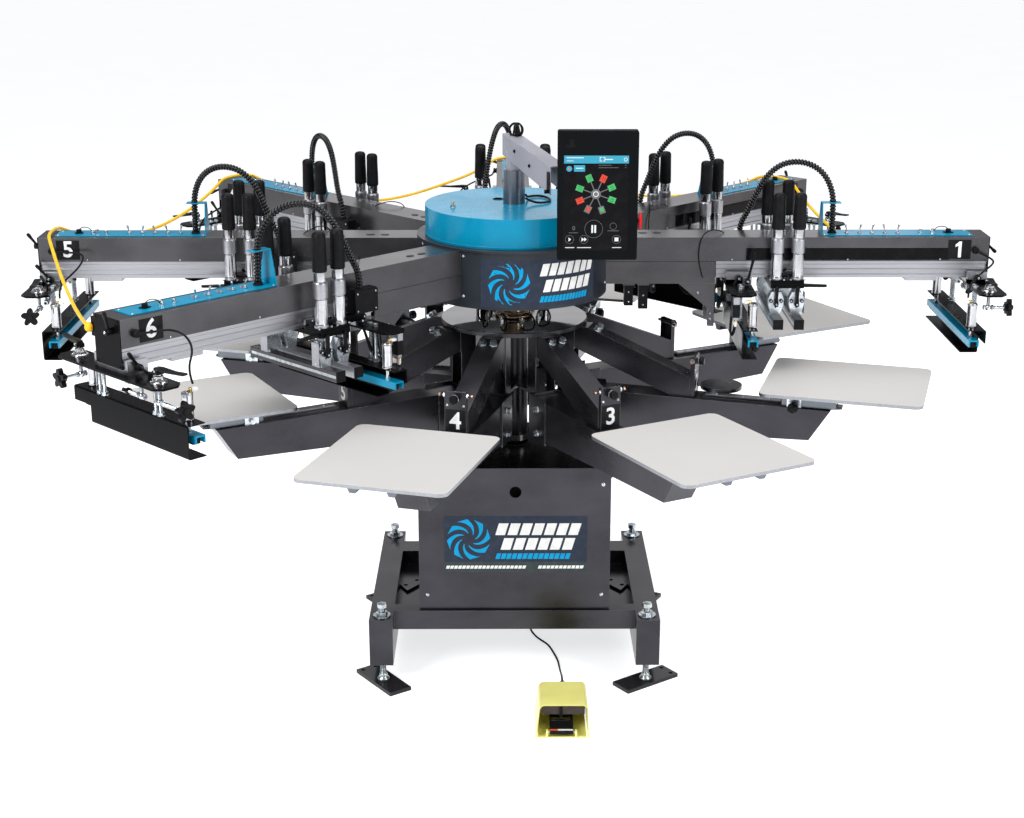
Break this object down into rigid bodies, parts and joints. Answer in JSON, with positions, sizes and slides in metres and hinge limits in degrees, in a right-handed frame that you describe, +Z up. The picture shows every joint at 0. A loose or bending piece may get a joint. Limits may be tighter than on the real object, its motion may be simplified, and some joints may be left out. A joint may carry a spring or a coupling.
{
  "type": "automatic carousel screen printing press",
  "caption": "Floor-standing rotary screen printing press with fixed print heads over an indexing pallet carousel, touch panel on a boom and foot pedal.",
  "frame": {"origin": "on the floor, under the machine's vertical axis, at the centre of the foot plates' point-symmetric anchor holes", "axes": "+Z up along the column, -Y towards the loading side where the operator stands, +X along print head 1"},
  "size_m": [2.992, 2.7511, 1.6995],
  "materials": {
    "graphite_paint": "fine metallic graphite powder coat",
    "drum_paint": "semi-gloss metallic graphite powder coat",
    "blue_paint": "gloss cyan-blue powder coat",
    "black_paint": "satin black powder coat",
    "pale_paint": "light grey satin paint",
    "yellow_paint": "pale yellow enamel",
    "rail_aluminium": "satin extruded aluminium",
    "zinc_steel": "bright zinc plating",
    "shaft_steel": "polished round bar",
    "bronze_bush": "turned bronze",
    "pallet_face": "pale coated aluminium sheet",
    "black_plastic": "moulded black plastic",
    "black_rubber": "ribbed black hose",
    "yellow_cord": "yellow sheathed trip cord",
    "red_plastic": "gloss red push button"
  },
  "bodies": {
    "frame": {"base_frame": "graphite_paint", "foot_plates": "black_paint", "levelling_studs": "zinc_steel", "cabinet_shell": "graphite_paint", "cabinet_front": "drum_paint", "column": "shaft_steel", "head_drum": "drum_paint", "drum_lid": "blue_paint", "mast": "drum_paint", "head_beams": "graphite_paint", "lower_beams": "graphite_paint", "head_rails": "rail_aluminium", "end_plates": "black_paint", "control_strips": "blue_paint", "inner_holders": "black_paint", "safety_cord": "yellow_cord", "pedal_guard": "yellow_paint", "pedal_cord": "black_rubber", "hose_1": "black_rubber", "hose_2": "black_rubber", "hose_3": "black_rubber", "hose_4": "black_rubber", "hose_5": "black_rubber", "hose_6": "black_rubber"},
    "lift": {"lift_sleeve": "shaft_steel", "shaft_bush": "bronze_bush"},
    "carousel": {"carousel_hub": "graphite_paint", "pallet_arms": "graphite_paint", "arm_braces": "graphite_paint", "number_brackets": "graphite_paint", "pallets": "pallet_face", "pallet_clamps": "rail_aluminium"},
    "boom": {"boom": "pale_paint"},
    "touch_panel": {"touch_panel": "drum_paint"},
    "estop_button": {"estop_button": "red_plastic"},
    "pedal_treadle": {"pedal_treadle": "black_plastic"},
    "carriage_1": {"carriage_1": "shaft_steel"},
    "squeegee_1": {"squeegee_1": "rail_aluminium"},
    "flood_bar_1": {"flood_bar_1": "rail_aluminium"},
    "outer_holder_1": {"outer_holder_1": "black_paint"},
    "carriage_2": {"carriage_2": "shaft_steel"},
    "squeegee_2": {"squeegee_2": "rail_aluminium"},
    "flood_bar_2": {"flood_bar_2": "rail_aluminium"},
    "outer_holder_2": {"outer_holder_2": "black_paint"},
    "carriage_3": {"carriage_3": "shaft_steel"},
    "squeegee_3": {"squeegee_3": "rail_aluminium"},
    "flood_bar_3": {"flood_bar_3": "rail_aluminium"},
    "outer_holder_3": {"outer_holder_3": "black_paint"},
    "carriage_4": {"carriage_4": "shaft_steel"},
    "squeegee_4": {"squeegee_4": "rail_aluminium"},
    "flood_bar_4": {"flood_bar_4": "rail_aluminium"},
    "outer_holder_4": {"outer_holder_4": "black_paint"},
    "carriage_5": {"carriage_5": "shaft_steel"},
    "squeegee_5": {"squeegee_5": "rail_aluminium"},
    "flood_bar_5": {"flood_bar_5": "rail_aluminium"},
    "outer_holder_5": {"outer_holder_5": "black_paint"},
    "carriage_6": {"carriage_6": "shaft_steel"},
    "squeegee_6": {"squeegee_6": "rail_aluminium"},
    "flood_bar_6": {"flood_bar_6": "rail_aluminium"},
    "outer_holder_6": {"outer_holder_6": "black_paint"}
  },
  "joints": [
    {"name": "table_lift", "type": "slide", "parent": "frame", "child": "lift", "axis": [0, 0, 1], "range_m": [0, 0.048]},
    {"name": "carousel_index", "type": "hinge", "parent": "lift", "child": "carousel", "pos_m": [0, 0, 0.9], "axis": [0, 0, 1], "continuous": true},
    {"name": "boom_swivel", "type": "hinge", "parent": "frame", "child": "boom", "pos_m": [0, 0, 1.5], "axis": [0, 0, 1], "range_deg": [-35, 10]},
    {"name": "panel_swivel", "type": "hinge", "parent": "boom", "child": "touch_panel", "pos_m": [0.134, -0.272, 1.476], "axis": [0, 0, 1], "range_deg": [-20, 45]},
    {"name": "estop_push", "type": "slide", "parent": "touch_panel", "child": "estop_button", "axis": [-1, 0, 0], "range_m": [0, 0.003]},
    {"name": "treadle_press", "type": "hinge", "parent": "frame", "child": "pedal_treadle", "pos_m": [0.134, -0.694, 0.02], "axis": [1, 0, 0], "range_deg": [-8, 0], "stiffness_Nm_per_rad": 4, "springref_deg": 8.59},
    {"name": "print_stroke_1", "type": "slide", "parent": "frame", "child": "carriage_1", "axis": [1, 0, 0], "range_m": [-0.01, 0.32], "deforming": ["hose_1"]},
    {"name": "squeegee_chop_1", "type": "slide", "parent": "carriage_1", "child": "squeegee_1", "axis": [0, 0, 1], "range_m": [-0.045, 0]},
    {"name": "flood_chop_1", "type": "slide", "parent": "carriage_1", "child": "flood_bar_1", "axis": [0, 0, 1], "range_m": [-0.045, 0]},
    {"name": "screen_size_1", "type": "slide", "parent": "frame", "child": "outer_holder_1", "axis": [1, 0, 0], "range_m": [-0.08, 0.01]},
    {"name": "print_stroke_2", "type": "slide", "parent": "frame", "child": "carriage_2", "axis": [0.7071, 0.7071, 0], "range_m": [-0.01, 0.32], "deforming": ["hose_2"]},
    {"name": "squeegee_chop_2", "type": "slide", "parent": "carriage_2", "child": "squeegee_2", "axis": [0, 0, 1], "range_m": [-0.045, 0]},
    {"name": "flood_chop_2", "type": "slide", "parent": "carriage_2", "child": "flood_bar_2", "axis": [0, 0, 1], "range_m": [-0.045, 0]},
    {"name": "screen_size_2", "type": "slide", "parent": "frame", "child": "outer_holder_2", "axis": [0.7071, 0.7071, 0], "range_m": [-0.08, 0.01]},
    {"name": "print_stroke_3", "type": "slide", "parent": "frame", "child": "carriage_3", "axis": [0, 1, 0], "range_m": [-0.01, 0.32], "deforming": ["hose_3"]},
    {"name": "squeegee_chop_3", "type": "slide", "parent": "carriage_3", "child": "squeegee_3", "axis": [0, 0, 1], "range_m": [-0.045, 0]},
    {"name": "flood_chop_3", "type": "slide", "parent": "carriage_3", "child": "flood_bar_3", "axis": [0, 0, 1], "range_m": [-0.045, 0]},
    {"name": "screen_size_3", "type": "slide", "parent": "frame", "child": "outer_holder_3", "axis": [0, 1, 0], "range_m": [-0.08, 0.01]},
    {"name": "print_stroke_4", "type": "slide", "parent": "frame", "child": "carriage_4", "axis": [-0.7071, 0.7071, 0], "range_m": [-0.01, 0.32], "deforming": ["hose_4"]},
    {"name": "squeegee_chop_4", "type": "slide", "parent": "carriage_4", "child": "squeegee_4", "axis": [0, 0, 1], "range_m": [-0.045, 0]},
    {"name": "flood_chop_4", "type": "slide", "parent": "carriage_4", "child": "flood_bar_4", "axis": [0, 0, 1], "range_m": [-0.045, 0]},
    {"name": "screen_size_4", "type": "slide", "parent": "frame", "child": "outer_holder_4", "axis": [-0.7071, 0.7071, 0], "range_m": [-0.08, 0.01]},
    {"name": "print_stroke_5", "type": "slide", "parent": "frame", "child": "carriage_5", "axis": [-1, 0, 0], "range_m": [-0.01, 0.32], "deforming": ["hose_5"]},
    {"name": "squeegee_chop_5", "type": "slide", "parent": "carriage_5", "child": "squeegee_5", "axis": [0, 0, 1], "range_m": [-0.045, 0]},
    {"name": "flood_chop_5", "type": "slide", "parent": "carriage_5", "child": "flood_bar_5", "axis": [0, 0, 1], "range_m": [-0.045, 0]},
    {"name": "screen_size_5", "type": "slide", "parent": "frame", "child": "outer_holder_5", "axis": [-1, 0, 0], "range_m": [-0.08, 0.01]},
    {"name": "print_stroke_6", "type": "slide", "parent": "frame", "child": "carriage_6", "axis": [-0.7071, -0.7071, 0], "range_m": [-0.01, 0.32], "deforming": ["hose_6"]},
    {"name": "squeegee_chop_6", "type": "slide", "parent": "carriage_6", "child": "squeegee_6", "axis": [0, 0, 1], "range_m": [-0.045, 0]},
    {"name": "flood_chop_6", "type": "slide", "parent": "carriage_6", "child": "flood_bar_6", "axis": [0, 0, 1], "range_m": [-0.045, 0]},
    {"name": "screen_size_6", "type": "slide", "parent": "frame", "child": "outer_holder_6", "axis": [-0.7071, -0.7071, 0], "range_m": [-0.08, 0.01]}
  ]
}
